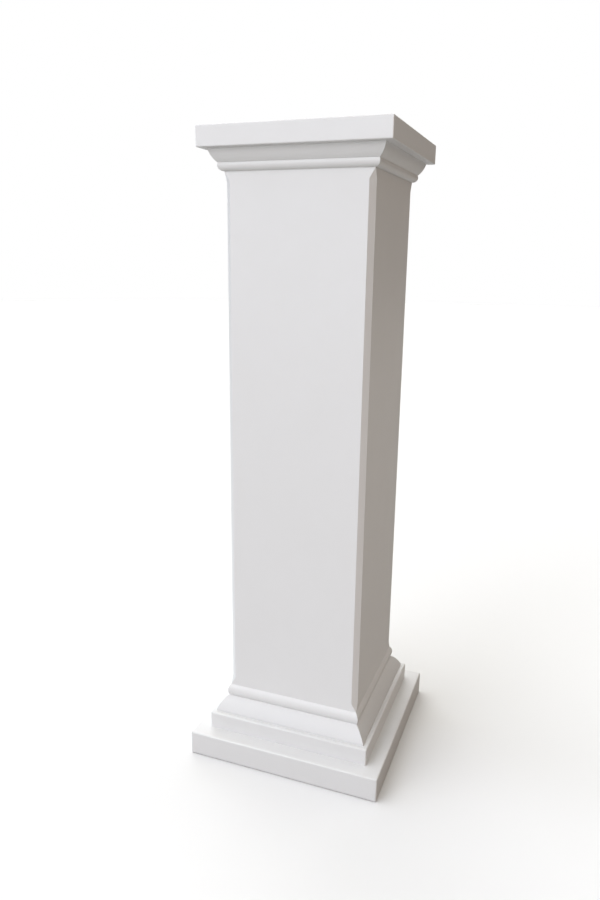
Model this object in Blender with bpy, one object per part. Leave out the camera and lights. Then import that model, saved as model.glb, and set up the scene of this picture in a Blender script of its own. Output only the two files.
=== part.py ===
"""Square pedestal column: a boxed shaft with stopped chamfers between a stepped plinth and a moulded capital.

Metres, +Z up, origin on the floor under the column's axis, front towards -Y.
"""

import math

import bmesh
import bpy
from mathutils import Matrix

# Boxed shaft: four mitred boards
SHAFT_WIDTH = 0.2035
SHAFT_HEIGHT = 0.8235
SHAFT_WALL = 0.018

# Stopped chamfer down each corner of the shaft
CHAMFER_LEG = 0.0074
CHAMFER_STOP_LENGTH = 0.013

# Flat boards above and below the shaft
PLINTH_THICKNESS = 0.038
PLINTH_LEDGE = 0.023
STEP_THICKNESS = 0.026
STEP_LEDGE = 0.0072
SLAB_THICKNESS = 0.026
SLAB_OVERHANG = 0.0112
PLINTH_ARRIS_RADIUS = 0.0022
SLAB_ARRIS_RADIUS = 0.0012
ARRIS_SEGMENTS = 2

# Base moulding: a bead over a flat ovolo and a fillet, planted on the shaft and standing on the step
BASE_BEAD_HEIGHT = 0.0182
BASE_BEAD_ROUND = 0.0034
BASE_QUIRK_PROJECTION = 0.0015
BASE_QUIRK_LEDGE = 0.0012
BASE_OVOLO_HEIGHT = 0.0199
BASE_OVOLO_ROUND = 0.0014
BASE_FILLET_HEIGHT = 0.0025
BASE_FOOT_PROJECTION = 0.01725

# Capital moulding: the same members turned over, under the slab
CAPITAL_BEAD_HEIGHT = 0.0105
CAPITAL_BEAD_ROUND = 0.0035
CAPITAL_QUIRK_PROJECTION = 0.0063
CAPITAL_QUIRK_LEDGE = 0.0006
CAPITAL_OVOLO_HEIGHT = 0.0155
CAPITAL_OVOLO_ROUND = 0.0013
CAPITAL_FILLET_HEIGHT = 0.001
CAPITAL_FOOT_PROJECTION = 0.016

ROUND_SEGMENTS = 12
SMOOTH_ANGLE = math.radians(30)

JOINT_GAP = 0.0003
CUTTER_MARGIN = 0.004

PAINT_COLOUR = (0.80, 0.80, 0.80, 1.0)
PAINT_ROUGHNESS = 0.42

SIDES = ("front", "right", "back", "left")
CORNERS = ("front_right", "back_right", "back_left", "front_left")
QUARTER_TURN = math.pi / 2

# Levels, from the floor up
STEP_BOTTOM = PLINTH_THICKNESS + JOINT_GAP
STEP_TOP = STEP_BOTTOM + STEP_THICKNESS
SHAFT_BOTTOM = STEP_TOP + JOINT_GAP
SHAFT_TOP = SHAFT_BOTTOM + SHAFT_HEIGHT
SLAB_BOTTOM = SHAFT_TOP + JOINT_GAP
BASE_MOULDING_TOP = SHAFT_BOTTOM + BASE_FILLET_HEIGHT + BASE_OVOLO_HEIGHT + BASE_BEAD_HEIGHT
CAPITAL_MOULDING_BOTTOM = SHAFT_TOP - CAPITAL_FILLET_HEIGHT - CAPITAL_OVOLO_HEIGHT - CAPITAL_BEAD_HEIGHT

# Widths, from the shaft outwards
SHAFT_HALF = SHAFT_WIDTH / 2
STEP_WIDTH = SHAFT_WIDTH + 2 * (BASE_FOOT_PROJECTION + STEP_LEDGE)
PLINTH_WIDTH = STEP_WIDTH + 2 * PLINTH_LEDGE
SLAB_WIDTH = SHAFT_WIDTH + 2 * (CAPITAL_FOOT_PROJECTION + SLAB_OVERHANG)


def clear_scene():
    for obj in list(bpy.data.objects):
        bpy.data.objects.remove(obj, do_unlink=True)


def paint(name):
    """White satin paint over filled and sanded board."""
    material = bpy.data.materials.new(name)
    material.use_nodes = True
    shader = material.node_tree.nodes["Principled BSDF"]
    shader.inputs["Base Color"].default_value = PAINT_COLOUR
    shader.inputs["Roughness"].default_value = PAINT_ROUGHNESS
    shader.inputs["Metallic"].default_value = 0.0
    return material


def add_object(name, mesh_builder, parent):
    """A named object whose mesh is what the bmesh holds, with outward faces and a paint of its own."""
    bmesh.ops.recalc_face_normals(mesh_builder, faces=mesh_builder.faces)
    mesh = bpy.data.meshes.new(name)
    mesh_builder.to_mesh(mesh)
    mesh_builder.free()
    mesh.materials.append(paint(f"{name}_paint"))
    obj = bpy.data.objects.new(name, mesh)
    obj.parent = parent
    bpy.context.scene.collection.objects.link(obj)
    return obj


def add_board(name, width, thickness, bottom, arris_radius, parent):
    """A square board lying flat, with its arrises eased."""
    builder = bmesh.new()
    bmesh.ops.create_cube(builder, size=1.0, matrix=Matrix.Diagonal((width, width, thickness, 1.0)))
    board = add_object(name, builder, parent)
    board.location.z = bottom + thickness / 2
    easing = board.modifiers.new("eased arrises", "BEVEL")
    easing.width = arris_radius
    easing.segments = ARRIS_SEGMENTS
    board.data.shade_smooth()
    board.data.set_sharp_from_angle(angle=SMOOTH_ANGLE)
    return board


def arc_points(start, end, rise):
    """Points of the round from start to end that stands proud of its chord by rise, to the right of its run."""
    run_x = end[0] - start[0]
    run_z = end[1] - start[1]
    chord = math.hypot(run_x, run_z)
    radius = chord * chord / (8 * rise) + rise / 2
    half_angle = math.atan2(chord / 2, radius - rise)
    points = []
    for step in range(ROUND_SEGMENTS + 1):
        angle = half_angle * (2 * step / ROUND_SEGMENTS - 1)
        along = (radius * math.sin(angle) + chord / 2) / chord
        proud = (radius * math.cos(angle) - radius + rise) / chord
        points.append((start[0] + run_x * along + run_z * proud, start[1] + run_z * along - run_x * proud))
    return points


def moulding_section(
    bead_height, bead_round, quirk, quirk_ledge, ovolo_height, ovolo_round, foot, fillet_height
):
    """Outline of a moulding as (projection from the shaft's face, distance from the bead's free edge)."""
    fillet_start = bead_height + ovolo_height
    height = fillet_start + fillet_height
    bead = arc_points((JOINT_GAP, 0.0), (quirk, bead_height), bead_round)
    ovolo = arc_points((quirk + quirk_ledge, bead_height), (foot, fillet_start), ovolo_round)
    return bead + ovolo + [(foot, height), (JOINT_GAP, height)]


def add_mitred_length(name, section, side, parent):
    """One of four lengths round the column: section is (distance from the axis, height), cut at 45 degrees."""
    builder = bmesh.new()
    corners = [builder.verts.new((0.0, -out, height)) for out, height in section]
    profile = builder.faces.new(corners)
    swept = bmesh.ops.extrude_face_region(builder, geom=[profile], use_keep_orig=True)
    far_end = [item for item in swept["geom"] if isinstance(item, bmesh.types.BMVert)]
    mitre_relief = JOINT_GAP / math.sqrt(2)
    for vert in corners:
        vert.co.x = vert.co.y + mitre_relief
    for vert in far_end:
        vert.co.x = -vert.co.y - mitre_relief
    length = add_object(name, builder, parent)
    length.rotation_euler.z = SIDES.index(side) * QUARTER_TURN
    length.data.shade_smooth()
    length.data.set_sharp_from_angle(angle=SMOOTH_ANGLE)
    return length


def add_chamfer_cutter(corner, parent):
    """The bar that takes off a corner of the shaft, its ends sloped to form the stops."""
    inner = (SHAFT_HALF - CHAMFER_LEG / 2) * math.sqrt(2)
    depth = CHAMFER_LEG / math.sqrt(2)
    outer = inner + depth + CUTTER_MARGIN
    lean = CHAMFER_STOP_LENGTH * (outer - inner) / depth
    low = BASE_MOULDING_TOP + CHAMFER_STOP_LENGTH
    high = CAPITAL_MOULDING_BOTTOM - CHAMFER_STOP_LENGTH
    half_width = CHAMFER_LEG / math.sqrt(2) + CUTTER_MARGIN
    outline = ((inner, low), (outer, low - lean), (outer, high + lean), (inner, high))
    builder = bmesh.new()
    face = builder.faces.new([builder.verts.new((out, -half_width, height)) for out, height in outline])
    swept = bmesh.ops.extrude_face_region(builder, geom=[face], use_keep_orig=True)
    for item in swept["geom"]:
        if isinstance(item, bmesh.types.BMVert):
            item.co.y = half_width
    cutter = add_object(f"chamfer_cutter_{corner}", builder, parent)
    cutter.rotation_euler.z = (CORNERS.index(corner) - 0.5) * QUARTER_TURN
    cutter.hide_render = True
    cutter.display_type = "WIRE"
    return cutter


def add_shaft(parent):
    """Four boards mitred into a hollow box, open at both ends, with a stopped chamfer over each mitre."""
    cutters = {corner: add_chamfer_cutter(corner, parent) for corner in CORNERS}
    wall = [
        (SHAFT_HALF - SHAFT_WALL, SHAFT_BOTTOM),
        (SHAFT_HALF, SHAFT_BOTTOM),
        (SHAFT_HALF, SHAFT_TOP),
        (SHAFT_HALF - SHAFT_WALL, SHAFT_TOP),
    ]
    for side in SIDES:
        board = add_mitred_length(f"shaft_{side}", wall, side, parent)
        for corner, cutter in cutters.items():
            if side in corner.split("_"):
                cut = board.modifiers.new(f"stopped chamfer {corner}", "BOOLEAN")
                cut.operation = "DIFFERENCE"
                cut.solver = "EXACT"
                cut.object = cutter


def add_base_moulding(parent):
    section = moulding_section(
        BASE_BEAD_HEIGHT,
        BASE_BEAD_ROUND,
        BASE_QUIRK_PROJECTION,
        BASE_QUIRK_LEDGE,
        BASE_OVOLO_HEIGHT,
        BASE_OVOLO_ROUND,
        BASE_FOOT_PROJECTION,
        BASE_FILLET_HEIGHT,
    )
    placed = [(SHAFT_HALF + out, BASE_MOULDING_TOP - along) for out, along in section]
    for side in SIDES:
        add_mitred_length(f"base_moulding_{side}", placed, side, parent)


def add_capital_moulding(parent):
    section = moulding_section(
        CAPITAL_BEAD_HEIGHT,
        CAPITAL_BEAD_ROUND,
        CAPITAL_QUIRK_PROJECTION,
        CAPITAL_QUIRK_LEDGE,
        CAPITAL_OVOLO_HEIGHT,
        CAPITAL_OVOLO_ROUND,
        CAPITAL_FOOT_PROJECTION,
        CAPITAL_FILLET_HEIGHT,
    )
    placed = [(SHAFT_HALF + out, CAPITAL_MOULDING_BOTTOM + along) for out, along in section]
    for side in SIDES:
        add_mitred_length(f"capital_moulding_{side}", placed, side, parent)


def main():
    clear_scene()
    column = bpy.data.objects.new("pedestal_column", None)
    bpy.context.scene.collection.objects.link(column)
    add_board("plinth", PLINTH_WIDTH, PLINTH_THICKNESS, 0.0, PLINTH_ARRIS_RADIUS, column)
    add_board("plinth_step", STEP_WIDTH, STEP_THICKNESS, STEP_BOTTOM, PLINTH_ARRIS_RADIUS, column)
    add_shaft(column)
    add_base_moulding(column)
    add_capital_moulding(column)
    add_board("top_slab", SLAB_WIDTH, SLAB_THICKNESS, SLAB_BOTTOM, SLAB_ARRIS_RADIUS, column)


main()
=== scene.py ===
"""Painted square pedestal column, dressed over its fixed frame, with a plain studio round it."""

import math

import bmesh
import bpy
from mathutils import Matrix, Vector


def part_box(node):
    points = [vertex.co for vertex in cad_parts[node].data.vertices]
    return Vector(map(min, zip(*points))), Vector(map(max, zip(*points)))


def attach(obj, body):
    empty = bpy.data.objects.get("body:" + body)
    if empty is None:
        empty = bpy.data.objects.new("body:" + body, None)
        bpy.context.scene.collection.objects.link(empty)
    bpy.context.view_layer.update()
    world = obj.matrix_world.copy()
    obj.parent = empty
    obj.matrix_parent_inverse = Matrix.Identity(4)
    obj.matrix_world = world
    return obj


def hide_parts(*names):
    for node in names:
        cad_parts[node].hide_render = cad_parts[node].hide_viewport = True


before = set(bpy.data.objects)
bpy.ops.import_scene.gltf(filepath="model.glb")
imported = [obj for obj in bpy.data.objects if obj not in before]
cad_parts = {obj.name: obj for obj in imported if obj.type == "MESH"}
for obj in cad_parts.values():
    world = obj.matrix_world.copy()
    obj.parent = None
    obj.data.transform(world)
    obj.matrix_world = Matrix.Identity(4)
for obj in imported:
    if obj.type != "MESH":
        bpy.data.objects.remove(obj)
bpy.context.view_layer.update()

bl_info = {
    "name": "Painted pedestal column",
    "version": (1, 0, 0),
    "blender": (4, 5, 0),
    "location": "3D View > Sidebar > Pedestal",
    "description": "Models and paints a square pedestal column and sets it in a plain studio",
    "category": "Add Mesh",
}

BODY = "root"
SIDES = ("front", "right", "back", "left")
QUARTER_TURN = math.pi / 2
HALF_DIAGONAL = math.sqrt(0.5)

# Where the finished solids stand
PLINTH_LOW, PLINTH_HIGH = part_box("plinth")
STEP_LOW, STEP_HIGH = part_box("plinth_step")
SHAFT_LOW, SHAFT_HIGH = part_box("shaft_front")
BASE_LOW, BASE_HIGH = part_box("base_moulding_front")
CAPITAL_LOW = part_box("capital_moulding_front")[0]
SLAB_LOW, SLAB_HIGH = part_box("top_slab")
SHAFT_HALF = -SHAFT_LOW.y

# Fineness of the modelling
EASING_SEGMENTS = 5
ROUND_SEGMENTS = 24
SMALL_EDGE_SEGMENTS = 3
SHADING_ANGLE = math.radians(24)
CUTTER_MARGIN = 0.004
SECTION_SEED = 0.001

# How close counts as the same place, and how straight a face has to look along an axis
NEAR = 0.00002
MERGE_REACH = NEAR / 4
SQUARE_ON = 0.9999


class PedestalSizes(bpy.types.PropertyGroup):
    """Sizes of the joinery that the frame leaves to the maker"""

    plinth_easing: bpy.props.FloatProperty(
        name="Plinth easing",
        description="Radius sanded on the arrises of the plinth and the step",
        default=0.0022,
        min=0.0002,
        max=0.004,
        unit="LENGTH",
    )
    slab_easing: bpy.props.FloatProperty(
        name="Slab easing",
        description="Radius sanded on the arrises of the top slab",
        default=0.0012,
        min=0.0002,
        max=0.004,
        unit="LENGTH",
    )
    shaft_wall: bpy.props.FloatProperty(
        name="Shaft board thickness",
        description="Thickness of the four boards of the boxed shaft",
        default=SHAFT_HIGH.y - SHAFT_LOW.y,
        min=0.009,
        max=0.04,
        unit="LENGTH",
    )
    chamfer_width: bpy.props.FloatProperty(
        name="Chamfer width",
        description="How far the corner chamfer comes in along each face of the shaft",
        default=0.0074,
        min=0.002,
        max=0.015,
        unit="LENGTH",
    )
    chamfer_stop: bpy.props.FloatProperty(
        name="Chamfer stop",
        description="Length of the slope that ends each chamfer short of the mouldings",
        default=0.013,
        min=0.004,
        max=0.04,
        unit="LENGTH",
    )
    small_easing: bpy.props.FloatProperty(
        name="Fine easing",
        description="Radius that sanding and paint leave on the chamfers and moulding edges",
        default=0.0004,
        min=0.0001,
        max=0.001,
        unit="LENGTH",
    )
    base_bead_height: bpy.props.FloatProperty(
        name="Base bead height",
        description="Height of the bead over the base ovolo",
        default=0.0182,
        unit="LENGTH",
    )
    base_bead_round: bpy.props.FloatProperty(
        name="Base bead round",
        description="How far the base bead swells from a straight slope",
        default=0.0034,
        unit="LENGTH",
    )
    base_quirk: bpy.props.FloatProperty(
        name="Base quirk",
        description="Distance from the shaft's face to the foot of the base bead",
        default=0.0015,
        unit="LENGTH",
    )
    base_quirk_ledge: bpy.props.FloatProperty(
        name="Base quirk ledge",
        description="Width of the small step between base bead and ovolo",
        default=0.0012,
        unit="LENGTH",
    )
    base_ovolo_round: bpy.props.FloatProperty(
        name="Base ovolo round",
        description="How far the base ovolo swells from a straight slope",
        default=0.0014,
        unit="LENGTH",
    )
    base_fillet: bpy.props.FloatProperty(
        name="Base fillet",
        description="Height of the upright edge at the foot of the base ovolo",
        default=0.0025,
        unit="LENGTH",
    )
    capital_bead_height: bpy.props.FloatProperty(
        name="Capital bead height",
        description="Height of the bead under the capital ovolo",
        default=0.0105,
        unit="LENGTH",
    )
    capital_bead_round: bpy.props.FloatProperty(
        name="Capital bead round",
        description="How far the capital bead swells from a straight slope",
        default=0.0035,
        unit="LENGTH",
    )
    capital_quirk: bpy.props.FloatProperty(
        name="Capital quirk",
        description="Distance from the shaft's face to the head of the capital bead",
        default=0.0063,
        unit="LENGTH",
    )
    capital_quirk_ledge: bpy.props.FloatProperty(
        name="Capital quirk ledge",
        description="Width of the small step between capital bead and ovolo",
        default=0.0006,
        unit="LENGTH",
    )
    capital_ovolo_round: bpy.props.FloatProperty(
        name="Capital ovolo round",
        description="How far the capital ovolo swells from a straight slope",
        default=0.0013,
        unit="LENGTH",
    )
    capital_fillet: bpy.props.FloatProperty(
        name="Capital fillet",
        description="Height of the upright edge at the head of the capital ovolo",
        default=0.001,
        unit="LENGTH",
    )


class PedestalPaint(bpy.types.PropertyGroup):
    """Colour and surface of the paint, with shade painted at the plinth's foot and over the inner
    corners of the base
    """

    colour: bpy.props.FloatVectorProperty(
        name="Paint",
        description="Colour of the satin paint",
        subtype="COLOR",
        size=3,
        min=0.0,
        max=1.0,
        default=(0.80, 0.80, 0.80),
    )
    thin_colour: bpy.props.FloatVectorProperty(
        name="Thin paint",
        description="Tone where the roller left the paint a little thinner",
        subtype="COLOR",
        size=3,
        min=0.0,
        max=1.0,
        default=(0.765, 0.762, 0.755),
    )
    # Painted contact shadow: a dark line painted along the plinth's foot where it meets the floor,
    # fading out upwards
    foot_shade_colour: bpy.props.FloatVectorProperty(
        name="Foot line",
        description="Tone of the dust that settles where the plinth meets the floor",
        subtype="COLOR",
        size=3,
        min=0.0,
        max=1.0,
        default=(0.42, 0.41, 0.40),
    )
    foot_shade_height: bpy.props.FloatProperty(
        name="Foot line height",
        description="Height over the floor at which the dusty line has faded out",
        default=0.0018,
        min=0.0001,
        max=0.01,
        unit="LENGTH",
    )
    # Painted shade: the step and the base moulding are painted darker towards the inner corners
    # above the plinth and the step
    corner_shade_colour: bpy.props.FloatVectorProperty(
        name="Corner dust",
        description="Tone of the fine dust in the inner corners of the base",
        subtype="COLOR",
        size=3,
        min=0.0,
        max=1.0,
        default=(0.69, 0.69, 0.69),
    )
    corner_shade_height: bpy.props.FloatProperty(
        name="Corner dust height",
        description="Height over an inner corner at which its dust has faded out",
        default=0.03,
        min=0.001,
        max=0.1,
        unit="LENGTH",
    )
    roughness: bpy.props.FloatProperty(
        name="Roughness",
        description="Roughness of the dry satin film",
        subtype="FACTOR",
        min=0.0,
        max=1.0,
        default=0.42,
    )
    stipple_size: bpy.props.FloatProperty(
        name="Stipple size",
        description="Distance between the small bumps that a foam roller leaves",
        default=0.0022,
        min=0.0005,
        max=0.01,
        unit="LENGTH",
    )
    stipple_depth: bpy.props.FloatProperty(
        name="Stipple depth",
        description="Depth of the roller stipple",
        default=0.00003,
        min=0.0,
        max=0.0005,
        unit="LENGTH",
    )
    brush_width: bpy.props.FloatProperty(
        name="Brush mark width",
        description="Distance between the fine lines that a brush leaves along a moulding",
        default=0.0012,
        min=0.0004,
        max=0.01,
        unit="LENGTH",
    )
    brush_depth: bpy.props.FloatProperty(
        name="Brush mark depth",
        description="Depth of the brush lines",
        default=0.00003,
        min=0.0,
        max=0.0005,
        unit="LENGTH",
    )


class PedestalStudio(bpy.types.PropertyGroup):
    """Floor, background and lights"""

    floor_colour: bpy.props.FloatVectorProperty(
        name="Floor",
        description="Colour of the studio floor as the camera sees it",
        subtype="COLOR",
        size=3,
        min=0.0,
        max=1.0,
        default=(0.885, 0.885, 0.885),
    )
    floor_bounce: bpy.props.FloatVectorProperty(
        name="Floor bounce",
        description="Colour of the light that the floor throws back at the column",
        subtype="COLOR",
        size=3,
        min=0.0,
        max=1.0,
        default=(0.352, 0.345, 0.335),
    )
    backdrop_level: bpy.props.FloatProperty(
        name="Backdrop level",
        description="Brightness of the studio behind the floor",
        default=1.0,
        min=0.0,
        max=2.0,
    )


def lone(piece):
    """Select one piece alone and make it active."""
    bpy.ops.object.select_all(action="DESELECT")
    piece.select_set(True)
    bpy.context.view_layer.objects.active = piece


def settle(piece):
    """Put a piece's place, turn and scale into its mesh."""
    lone(piece)
    bpy.ops.object.transform_apply(location=True, rotation=True, scale=True)


def add_block(name, low, high):
    """A block between two corners, alone selected, with its place in its mesh."""
    bpy.ops.object.select_all(action="DESELECT")
    centre = (Vector(low) + Vector(high)) / 2
    bpy.ops.mesh.primitive_cube_add(size=1.0, location=centre, scale=Vector(high) - Vector(low))
    block = bpy.context.object
    block.name = name
    settle(block)
    return block


def edit(piece, mode="VERT"):
    """Enter edit mode on one piece with nothing selected."""
    lone(piece)
    bpy.ops.object.mode_set(mode="EDIT")
    bpy.ops.mesh.select_mode(type=mode)
    bpy.ops.mesh.select_all(action="DESELECT")


def leave_edit():
    bpy.ops.object.mode_set(mode="OBJECT")


def pick(piece, kind, wanted):
    """In edit mode, select just the vertices, edges or faces for which wanted holds."""
    mesh = bmesh.from_edit_mesh(piece.data)
    mesh.normal_update()
    bpy.ops.mesh.select_all(action="DESELECT")
    found = [item for item in getattr(mesh, kind) if wanted(item)]
    for item in found:
        item.select_set(True)
    mesh.select_flush_mode()
    bmesh.update_edit_mesh(piece.data)
    return len(found)


def need(there, what):
    """Stop the script where a piece didn't come out as meant."""
    if not there:
        raise RuntimeError(what)


def shade(piece):
    """Smooth shading over the eased edges only."""
    lone(piece)
    bpy.ops.object.shade_smooth_by_angle(angle=SHADING_ANGLE)


def close_shell(piece):
    """Merge doubles, turn the faces outwards and make sure that the shell is closed."""
    edit(piece)
    bpy.ops.mesh.select_all(action="SELECT")
    bpy.ops.mesh.remove_doubles(threshold=MERGE_REACH)
    bpy.ops.mesh.normals_make_consistent(inside=False)
    mesh = bmesh.from_edit_mesh(piece.data)
    open_edges = sum(not edge.is_manifold for edge in mesh.edges)
    volume = mesh.calc_volume(signed=True)
    leave_edit()
    need(not open_edges and volume > 0, f"{piece.name}: {open_edges} open edges, volume {volume}")


def turned_copy(piece, name, quarter_turns):
    """A copy with a mesh of its own, turned round the column's axis."""
    copy = piece.copy()
    copy.data = piece.data.copy()
    copy.name = copy.data.name = name
    bpy.context.scene.collection.objects.link(copy)
    copy.rotation_euler.z = quarter_turns * QUARTER_TURN
    settle(copy)
    return copy


def hand_over(piece, node, finish):
    """Paint a finished piece and let it stand for its solid."""
    shade(piece)
    piece.data.name = piece.name
    piece.data.materials.clear()
    piece.data.materials.append(finish)
    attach(piece, BODY)
    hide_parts(node)


def place_four(front, name, node, *finishes):
    """Copy a front piece to the other three sides and hand all four over."""
    pieces = [front] + [
        turned_copy(front, f"{name}_{side}", turns) for turns, side in enumerate(SIDES) if turns
    ]
    for turns, (piece, side) in enumerate(zip(pieces, SIDES)):
        hand_over(piece, f"{node}_{side}", finishes[turns % len(finishes)])


# ---------------------------------------------------------------- joinery


def make_board(name, low, high, easing, tight_foot=False):
    """A square board with its arrises rounded; a tight foot keeps the lower ones square."""
    board = add_block(name, low, high)
    foot = low[2] + NEAR

    def rounded(edge):
        return not tight_foot or any(vert.co.z > foot for vert in edge.verts)

    edit(board, "EDGE")
    pick(board, "edges", rounded)
    bpy.ops.mesh.bevel(offset=easing, segments=EASING_SEGMENTS, profile=0.5, affect="EDGES")
    bpy.ops.mesh.select_mode(type="FACE")
    flats = pick(board, "faces", lambda face: max(abs(part) for part in face.normal) > SQUARE_ON)
    need(flats == 6, f"{name}: {flats} flats after the easing")
    bpy.ops.mesh.inset(thickness=easing, use_even_offset=True, use_individual=True)
    leave_edit()
    close_shell(board)
    return board


def mitre(piece):
    """In edit mode, cut both ends of a front length at 45 degrees through the column's axis."""
    for across in (1.0, -1.0):
        bpy.ops.mesh.select_all(action="SELECT")
        bpy.ops.mesh.bisect(
            plane_co=(0.0, 0.0, 0.0), plane_no=(across, 1.0, 0.0), use_fill=True, clear_outer=True
        )


def make_chamfer_cutter(side_sign, sizes):
    """The bar that takes off a front corner of the shaft, its ends sloped to form the stops."""
    inner = (SHAFT_HALF - sizes.chamfer_width / 2) / HALF_DIAGONAL
    depth = sizes.chamfer_width * HALF_DIAGONAL
    outer = inner + depth + CUTTER_MARGIN
    reach = depth + CUTTER_MARGIN
    lean = sizes.chamfer_stop * (outer - inner) / depth
    bottom = BASE_HIGH.z + sizes.chamfer_stop
    top = CAPITAL_LOW.z - sizes.chamfer_stop
    cutter = add_block("chamfer_cutter", (inner, -reach, bottom), (outer, reach, top))

    def outer_edge_at(level, edge):
        ends = [vert.co for vert in edge.verts]
        return all(abs(end.x - outer) < NEAR and abs(end.z - level) < NEAR for end in ends)

    edit(cutter, "EDGE")
    for level, slide in ((bottom, -lean), (top, lean)):
        pick(cutter, "edges", lambda edge: outer_edge_at(level, edge))
        bpy.ops.transform.translate(value=(0.0, 0.0, slide))
    leave_edit()
    cutter.rotation_euler.z = -QUARTER_TURN + side_sign * QUARTER_TURN / 2
    settle(cutter)
    return cutter


def make_shaft_board(sizes):
    """The front board of the shaft, mitred at both sides, with half of each chamfer."""
    low = (-SHAFT_HALF, -SHAFT_HALF, STEP_HIGH.z)
    high = (SHAFT_HALF, sizes.shaft_wall - SHAFT_HALF, SHAFT_HIGH.z)
    board = add_block("painted_shaft_front", low, high)
    edit(board)
    mitre(board)
    leave_edit()
    for side_sign in (1, -1):
        cutter = make_chamfer_cutter(side_sign, sizes)
        lone(board)
        bpy.ops.object.modifier_add(type="BOOLEAN")
        cut = board.modifiers[-1]
        cut.operation = "DIFFERENCE"
        cut.solver = "EXACT"
        cut.object = cutter
        bpy.ops.object.modifier_apply(modifier=cut.name)
        bpy.data.objects.remove(cutter, do_unlink=True)
    ease_chamfers(board, sizes)
    close_shell(board)
    return board


def ease_chamfers(board, sizes):
    """Round the long edges where the chamfers meet the face, and hold the face flat up to them."""
    face_level = -SHAFT_HALF
    arris = SHAFT_HALF - sizes.chamfer_width

    def long_edge(edge):
        ends = [vert.co for vert in edge.verts]
        if abs(ends[0].z - ends[1].z) < SHAFT_HALF:
            return False
        return all(
            abs(end.y - face_level) < NEAR and abs(abs(end.x) - arris) < NEAR for end in ends
        )

    edit(board, "EDGE")
    found = pick(board, "edges", long_edge)
    need(found == 2, f"{board.name}: {found} chamfer edges")
    bpy.ops.mesh.bevel(offset=sizes.small_easing, segments=SMALL_EDGE_SEGMENTS, affect="EDGES")
    bpy.ops.mesh.select_mode(type="FACE")
    found = pick(board, "faces", lambda face: face.normal.y < -SQUARE_ON)
    need(found == 1, f"{board.name}: {found} outer faces")
    bpy.ops.mesh.inset(thickness=sizes.small_easing, use_even_offset=True)
    leave_edit()


def outward_round(start, end, rise):
    """Centre and spin angle of the round from start to end that swells outwards by rise."""
    run = end - start
    climb = 1.0 if run.y > 0 else -1.0
    radius = run.length ** 2 / (8 * rise) + rise / 2
    proud = climb * Vector((run.y, -run.x)).normalized()
    centre = (start + end) / 2 + proud * (rise - radius)
    return centre, climb * 2 * math.asin(run.length / 2 / radius)


def draw_section(name, start, members):
    """A closed moulding section in the column's middle plane.

    Points are (distance from the axis, height). Each member is its end and its swell.
    """
    bpy.ops.object.select_all(action="DESELECT")
    bpy.ops.mesh.primitive_plane_add(size=SECTION_SEED, location=(0.0, -start[0], start[1]))
    section = bpy.context.object
    section.name = name
    settle(section)
    edit(section)
    bpy.ops.mesh.select_all(action="SELECT")
    bpy.ops.mesh.merge(type="CENTER")
    at = Vector(start)
    for end, rise in members:
        end = Vector(end)
        if rise:
            centre, angle = outward_round(at, end, rise)
            bpy.ops.mesh.spin(
                steps=ROUND_SEGMENTS,
                angle=angle,
                center=(0.0, -centre.x, centre.y),
                axis=(1.0, 0.0, 0.0),
            )
        else:
            step = (0.0, at.x - end.x, end.y - at.y)
            bpy.ops.mesh.extrude_region_move(TRANSFORM_OT_translate={"value": step})
        tip = [vert.co for vert in bmesh.from_edit_mesh(section.data).verts if vert.select]
        landed = len(tip) == 1 and (tip[0] - Vector((0.0, -end.x, end.y))).length < NEAR
        need(landed, f"{name}: the section went to {tip} instead of {end}")
        at = end
    bpy.ops.mesh.select_all(action="SELECT")
    bpy.ops.mesh.edge_face_add()
    return section


def make_moulding(name, start, members):
    """The front length of a moulding: its section run along the side and mitred at both ends."""
    length = draw_section(name, start, members)
    reach = PLINTH_HIGH.x
    bpy.ops.mesh.select_all(action="SELECT")
    bpy.ops.transform.translate(value=(-reach, 0.0, 0.0))
    bpy.ops.mesh.extrude_region_move(TRANSFORM_OT_translate={"value": (2 * reach, 0.0, 0.0)})
    mitre(length)
    leave_edit()
    close_shell(length)
    return length


# ---------------------------------------------------------------- paint


# Sockets of the colour mix, which share their names and are told apart by number
MIX_FACTOR, MIX_FIRST, MIX_SECOND, MIX_RESULT = 0, 6, 7, 2


class Wire:
    """One socket of a finish, on which sums are written as plain arithmetic."""

    def __init__(self, finish, socket):
        self.finish = finish
        self.socket = socket

    def sum_of(self, operation, first, second, clamped=False):
        settings = {"operation": operation, "use_clamp": clamped}
        return self.finish.node("ShaderNodeMath", settings, {0: first, 1: second})

    def __add__(self, other):
        return self.sum_of("ADD", self, other)

    def __radd__(self, other):
        return self.sum_of("ADD", other, self)

    def __sub__(self, other):
        return self.sum_of("SUBTRACT", self, other)

    def __mul__(self, other):
        return self.sum_of("MULTIPLY", self, other)


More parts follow.
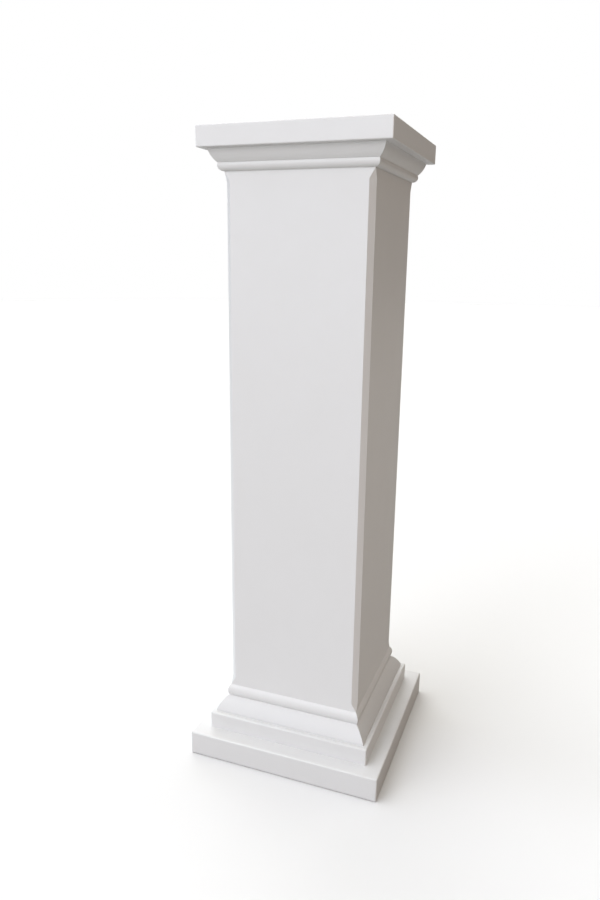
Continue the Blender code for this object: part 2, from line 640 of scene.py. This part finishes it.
class Finish:
    """A material whose nodes are written as expressions; given a tree, it writes them there."""

    def __init__(self, name, tree=None):
        if tree is None:
            self.material = bpy.data.materials.new(name)
            self.material.use_nodes = True
            tree = self.material.node_tree
        self.tree = tree
        self.tree.nodes.clear()

    def feed(self, socket, value):
        if isinstance(value, Wire):
            self.tree.links.new(value.socket, socket)
        else:
            socket.default_value = value

    def node(self, kind, settings=None, sockets=None, output=0):
        """Add a node: its settings first, then the values or links of its sockets."""
        made = self.tree.nodes.new(kind)
        for name, value in (settings or {}).items():
            setattr(made, name, value)
        for key, value in (sockets or {}).items():
            self.feed(made.inputs[key], value)
        return Wire(self, made.outputs[output]) if made.outputs else made

    def noise(self, place, scale, detail=2.0, roughness=0.5):
        """Smooth random values from 0 to 1 over a place."""
        sockets = {"Vector": place, "Scale": scale, "Detail": detail, "Roughness": roughness}
        return self.node("ShaderNodeTexNoise", {"noise_dimensions": "3D"}, sockets)

    def stretch(self, place, scale):
        sockets = {"Vector": place, "Scale": scale}
        return self.node("ShaderNodeMapping", {"vector_type": "POINT"}, sockets)

    def mix(self, factor, first, second):
        """From one colour socket or value to another as factor goes from 0 to 1."""
        sockets = {MIX_FACTOR: factor, MIX_FIRST: first, MIX_SECOND: second}
        return self.node("ShaderNodeMix", {"data_type": "RGBA"}, sockets, MIX_RESULT)

    def blend(self, factor, first, second):
        """From one plain colour to another as factor goes from 0 to 1."""
        return self.mix(factor, (*first, 1.0), (*second, 1.0))


# Which way the brush was drawn: the marks are drawn out along the small number
DRAWN_OUT = 0.03
BRUSHED_ALONG = {
    "up": (1.0, 1.0, DRAWN_OUT),
    "across": (DRAWN_OUT, 1.0, 1.0),
    "deep": (1.0, DRAWN_OUT, 1.0),
}

# The front and back mouldings run across the column and the side ones run deep
MOULDING_RUNS = ("across", "deep")

# How much of the brush shows on the flat boards, which were mostly rolled
ROLLED = 0.5

# Uneven tone, in marks per metre: a broad drift and smaller patches, and the share of each
DRIFT_SCALE = 9.0
PATCH_SCALE = 38.0
DRIFT_SHARE = 0.6
PATCH_SHARE = 0.4

# How far the sheen changes with the patches and with the stipple
PATCH_SHEEN = 0.12
STIPPLE_SHEEN = 0.06
MIDDLE = 0.5

PAINT_IOR = 1.5


def satin_paint(name, laid_off, brushed=1.0, painted_shade=None):
    """White satin paint: roller stipple, faint brush lines and a slightly uneven sheen.

    The last argument, when given, paints shade: the level of its foot, the height over which it
    fades out and its colour.
    """
    paint = bpy.context.scene.pedestal_paint
    finish = Finish(name)
    place = finish.node("ShaderNodeTexCoord", output="Object")
    stipple = finish.noise(place, 1 / paint.stipple_size, detail=3.0, roughness=0.6)
    along = finish.stretch(place, BRUSHED_ALONG[laid_off])
    brush = finish.noise(along, 1 / paint.brush_width, detail=2.0)
    drift = finish.noise(place, DRIFT_SCALE, detail=3.0)
    patches = finish.noise(place, PATCH_SCALE, detail=4.0, roughness=0.65)
    height = stipple * paint.stipple_depth + brush * (paint.brush_depth * brushed)
    bump = finish.node("ShaderNodeBump", {}, {"Strength": 1.0, "Distance": 1.0, "Height": height})
    thinness = drift * DRIFT_SHARE + patches * PATCH_SHARE
    tone = finish.blend(thinness, paint.colour, paint.thin_colour)
    # Painted shade: the tone darkens to the given colour towards the foot level and fades out
    # above it
    if painted_shade:
        foot, height, colour = painted_shade
        level = finish.node("ShaderNodeSeparateXYZ", {}, {"Vector": place}, output="Z")
        shade_mask = level.sum_of("SUBTRACT", 1.0 + foot / height, level * (1 / height), clamped=True)
        tone = finish.mix(shade_mask, tone, (*colour, 1.0))
    sheen = paint.roughness + (patches - MIDDLE) * PATCH_SHEEN + (stipple - MIDDLE) * STIPPLE_SHEEN
    sockets = {
        "Base Color": tone,
        "Roughness": sheen,
        "Metallic": 0.0,
        "IOR": PAINT_IOR,
        "Normal": bump,
    }
    shader = finish.node("ShaderNodeBsdfPrincipled", {}, sockets)
    finish.node("ShaderNodeOutputMaterial", {}, {"Surface": shader})
    return finish.material


# ---------------------------------------------------------------- operators


class PEDESTAL_OT_boards(bpy.types.Operator):
    """Make the plinth, the step on it and the top slab"""

    bl_idname = "pedestal.boards"
    bl_label = "Flat boards"

    def execute(self, context):
        sizes = context.scene.pedestal_sizes
        finish = satin_paint("satin_paint_boards", "across", brushed=ROLLED)
        paint = context.scene.pedestal_paint
        # Painted contact shadow along the plinth's foot, and painted shade on the step over the
        # plinth's top
        foot_painted_shade = (PLINTH_LOW.z, paint.foot_shade_height, paint.foot_shade_colour)
        foot_shaded_finish = satin_paint("satin_paint_plinth", "across", brushed=ROLLED, painted_shade=foot_painted_shade)
        corner_painted_shade = (PLINTH_HIGH.z, paint.corner_shade_height, paint.corner_shade_colour)
        step_shaded_finish = satin_paint("satin_paint_step", "across", brushed=ROLLED, painted_shade=corner_painted_shade)
        step_seat = (STEP_LOW.x, STEP_LOW.y, PLINTH_HIGH.z)
        slab_seat = (SLAB_LOW.x, SLAB_LOW.y, SHAFT_HIGH.z)
        easing = sizes.plinth_easing
        plinth = make_board("painted_plinth", PLINTH_LOW, PLINTH_HIGH, easing)
        step = make_board("painted_plinth_step", step_seat, STEP_HIGH, easing, tight_foot=True)
        slab = make_board("painted_top_slab", slab_seat, SLAB_HIGH, sizes.slab_easing)
        hand_over(plinth, "plinth", foot_shaded_finish)
        hand_over(step, "plinth_step", step_shaded_finish)
        hand_over(slab, "top_slab", finish)
        return {"FINISHED"}


class PEDESTAL_OT_shaft(bpy.types.Operator):
    """Make the four mitred boards of the shaft with their stopped chamfers"""

    bl_idname = "pedestal.shaft"
    bl_label = "Boxed shaft"

    def execute(self, context):
        finish = satin_paint("satin_paint_shaft", "up", brushed=ROLLED)
        board = make_shaft_board(context.scene.pedestal_sizes)
        place_four(board, "painted_shaft", "shaft", finish)
        return {"FINISHED"}


class PEDESTAL_OT_base_moulding(bpy.types.Operator):
    """Make the four lengths of bead and ovolo round the foot of the shaft"""

    bl_idname = "pedestal.base_moulding"
    bl_label = "Base moulding"

    def execute(self, context):
        sizes = context.scene.pedestal_sizes
        quirk_level = BASE_HIGH.z - sizes.base_bead_height
        quirk = SHAFT_HALF + sizes.base_quirk
        members = [
            ((quirk, quirk_level), sizes.base_bead_round),
            ((quirk + sizes.base_quirk_ledge, quirk_level), 0.0),
            ((-BASE_LOW.y, STEP_HIGH.z + sizes.base_fillet), sizes.base_ovolo_round),
            ((-BASE_LOW.y, STEP_HIGH.z), 0.0),
            ((SHAFT_HALF, STEP_HIGH.z), 0.0),
        ]
        start = (SHAFT_HALF, BASE_HIGH.z)
        front = make_moulding("painted_base_moulding_front", start, members)
        paint = context.scene.pedestal_paint
        # Painted shade: the moulding is painted darker towards its foot on the step
        painted_shade = (STEP_HIGH.z, paint.corner_shade_height, paint.corner_shade_colour)
        finishes = [
            satin_paint(f"satin_paint_base_{run}", run, painted_shade=painted_shade) for run in MOULDING_RUNS
        ]
        place_four(front, "painted_base_moulding", "base_moulding", *finishes)
        return {"FINISHED"}


class PEDESTAL_OT_capital_moulding(bpy.types.Operator):
    """Make the four lengths of ovolo and bead round the head of the shaft"""

    bl_idname = "pedestal.capital_moulding"
    bl_label = "Capital moulding"

    def execute(self, context):
        sizes = context.scene.pedestal_sizes
        quirk_level = CAPITAL_LOW.z + sizes.capital_bead_height
        quirk = SHAFT_HALF + sizes.capital_quirk
        members = [
            ((quirk, quirk_level), sizes.capital_bead_round),
            ((quirk + sizes.capital_quirk_ledge, quirk_level), 0.0),
            ((-CAPITAL_LOW.y, SHAFT_HIGH.z - sizes.capital_fillet), sizes.capital_ovolo_round),
            ((-CAPITAL_LOW.y, SHAFT_HIGH.z), 0.0),
            ((SHAFT_HALF, SHAFT_HIGH.z), 0.0),
        ]
        start = (SHAFT_HALF, CAPITAL_LOW.z)
        front = make_moulding("painted_capital_moulding_front", start, members)
        finishes = [satin_paint(f"satin_paint_capital_{run}", run) for run in MOULDING_RUNS]
        place_four(front, "painted_capital_moulding", "capital_moulding", *finishes)
        return {"FINISHED"}


# ---------------------------------------------------------------- studio


# Camera: its place in metres, its turn to the left, dip below level and roll in radians,
# and its lens and sensor in millimetres
CAMERA_PLACE = (0.35068, -1.01275, 0.75453)
CAMERA_TURN = 0.35937663
CAMERA_DIP = 0.25921625
CAMERA_ROLL = 0.01257467
CAMERA_LENS = 29.146
CAMERA_SENSOR = 36.0

# A matt floor, wide enough that no light comes up past its edge
FLOOR_RADIUS = 12.0
FLOOR_SIDES = 128
FLOOR_ROUGHNESS = 0.95

# Soft lights a long way off: bearing in degrees from the front towards the right,
# height in degrees, strength and colour
LIGHTS = {
    "key_left": (-60.0, 45.0, 1.49, (0.900, 0.925, 1.0)),
    "high_back_left": (-120.0, 65.0, 1.16, (1.0, 0.990, 0.880)),
    "soft_front": (-15.0, 12.0, 2.27, (0.880, 0.928, 1.0)),
    "low_back_left": (-150.0, 12.0, 2.10, (0.940, 0.948, 1.0)),
    "back_right": (135.0, 45.0, 0.86, (1.0, 0.989, 0.964)),
    "warm_side": (45.0, 12.0, 0.53, (1.0, 0.613, 0.304)),
}
LIGHT_SPREAD = 60.0
LIGHT_DISTANCE = 3.0

WHITE = (1.0, 1.0, 1.0, 1.0)


def add_floor(studio):
    """A round pale floor; it looks brighter than the light that it throws back at the column."""
    bpy.ops.object.select_all(action="DESELECT")
    bpy.ops.mesh.primitive_circle_add(vertices=FLOOR_SIDES, radius=FLOOR_RADIUS, fill_type="NGON")
    floor = bpy.context.object
    floor.name = "studio_floor"
    finish = Finish("pale_floor")
    seen = finish.node("ShaderNodeLightPath", output="Is Camera Ray")
    colour = finish.blend(seen, studio.floor_bounce, studio.floor_colour)
    sockets = {"Base Color": colour, "Roughness": FLOOR_ROUGHNESS, "Specular IOR Level": 0.0}
    shader = finish.node("ShaderNodeBsdfPrincipled", {}, sockets)
    finish.node("ShaderNodeOutputMaterial", {}, {"Surface": shader})
    floor.data.materials.append(finish.material)


def add_light(name, bearing, height, strength, colour):
    """A large soft light far away, shining towards the column."""
    lamp = bpy.data.lights.new(name, "SUN")
    lamp.energy = strength
    lamp.angle = math.radians(LIGHT_SPREAD)
    lamp.color = colour
    light = bpy.data.objects.new(name, lamp)
    turn = math.radians(bearing)
    rise = math.radians(height)
    level = math.cos(rise)
    aim = Vector((math.sin(turn) * level, -math.cos(turn) * level, math.sin(rise)))
    light.rotation_euler = aim.to_track_quat("Z", "Y").to_euler()
    light.location = aim * LIGHT_DISTANCE
    bpy.context.scene.collection.objects.link(light)


def add_backdrop(studio):
    """An even white surround for the camera, which throws no light of its own on the column."""
    world = bpy.data.worlds.new("studio")
    world.use_nodes = True
    finish = Finish("studio", world.node_tree)
    seen = finish.node("ShaderNodeLightPath", output="Is Camera Ray")
    sockets = {"Color": WHITE, "Strength": seen * studio.backdrop_level}
    surround = finish.node("ShaderNodeBackground", {}, sockets)
    finish.node("ShaderNodeOutputWorld", {}, {"Surface": surround})
    bpy.context.scene.world = world


def add_camera():
    """The photograph's own viewpoint."""
    ahead = Vector((
        -math.sin(CAMERA_TURN) * math.cos(CAMERA_DIP),
        math.cos(CAMERA_TURN) * math.cos(CAMERA_DIP),
        -math.sin(CAMERA_DIP),
    ))
    right = Vector((math.cos(CAMERA_TURN), math.sin(CAMERA_TURN), 0.0))
    up = right.cross(ahead)
    across = right * math.cos(CAMERA_ROLL) + up * math.sin(CAMERA_ROLL)
    upright = up * math.cos(CAMERA_ROLL) - right * math.sin(CAMERA_ROLL)
    data = bpy.data.cameras.new("camera")
    data.sensor_width = CAMERA_SENSOR
    data.lens = CAMERA_LENS
    camera = bpy.data.objects.new("camera", data)
    turned = Matrix((across, upright, -ahead)).transposed().to_4x4()
    camera.matrix_world = Matrix.Translation(CAMERA_PLACE) @ turned
    bpy.context.scene.collection.objects.link(camera)
    bpy.context.scene.camera = camera


class PEDESTAL_OT_studio(bpy.types.Operator):
    """Set up the floor, the backdrop, the lights and the camera"""

    bl_idname = "pedestal.studio"
    bl_label = "Studio"

    def execute(self, context):
        studio = context.scene.pedestal_studio
        add_floor(studio)
        add_backdrop(studio)
        for name, light in LIGHTS.items():
            add_light(name, *light)
        add_camera()
        context.scene.view_settings.view_transform = "Standard"
        return {"FINISHED"}


STEPS = ("boards", "shaft", "base_moulding", "capital_moulding", "studio")


class PEDESTAL_PT_tools(bpy.types.Panel):
    """The column's pieces and settings"""

    bl_label = "Pedestal column"
    bl_idname = "PEDESTAL_PT_tools"
    bl_space_type = "VIEW_3D"
    bl_region_type = "UI"
    bl_category = "Pedestal"

    def draw(self, context):
        for step in STEPS:
            self.layout.operator(f"pedestal.{step}")
        for group_name in GROUPS:
            group = getattr(context.scene, group_name)
            box = self.layout.box()
            for name in group.__annotations__:
                box.prop(group, name)


GROUPS = {
    "pedestal_sizes": PedestalSizes,
    "pedestal_paint": PedestalPaint,
    "pedestal_studio": PedestalStudio,
}
CLASSES = (
    *GROUPS.values(),
    PEDESTAL_OT_boards,
    PEDESTAL_OT_shaft,
    PEDESTAL_OT_base_moulding,
    PEDESTAL_OT_capital_moulding,
    PEDESTAL_OT_studio,
    PEDESTAL_PT_tools,
)


def register():
    for kind in CLASSES:
        bpy.utils.register_class(kind)
    for name, group in GROUPS.items():
        setattr(bpy.types.Scene, name, bpy.props.PointerProperty(type=group))


def unregister():
    for name in GROUPS:
        delattr(bpy.types.Scene, name)
    for kind in reversed(CLASSES):
        bpy.utils.unregister_class(kind)


def main():
    register()
    for step in STEPS:
        getattr(bpy.ops.pedestal, step)()


if __name__ == "__main__":
    main()
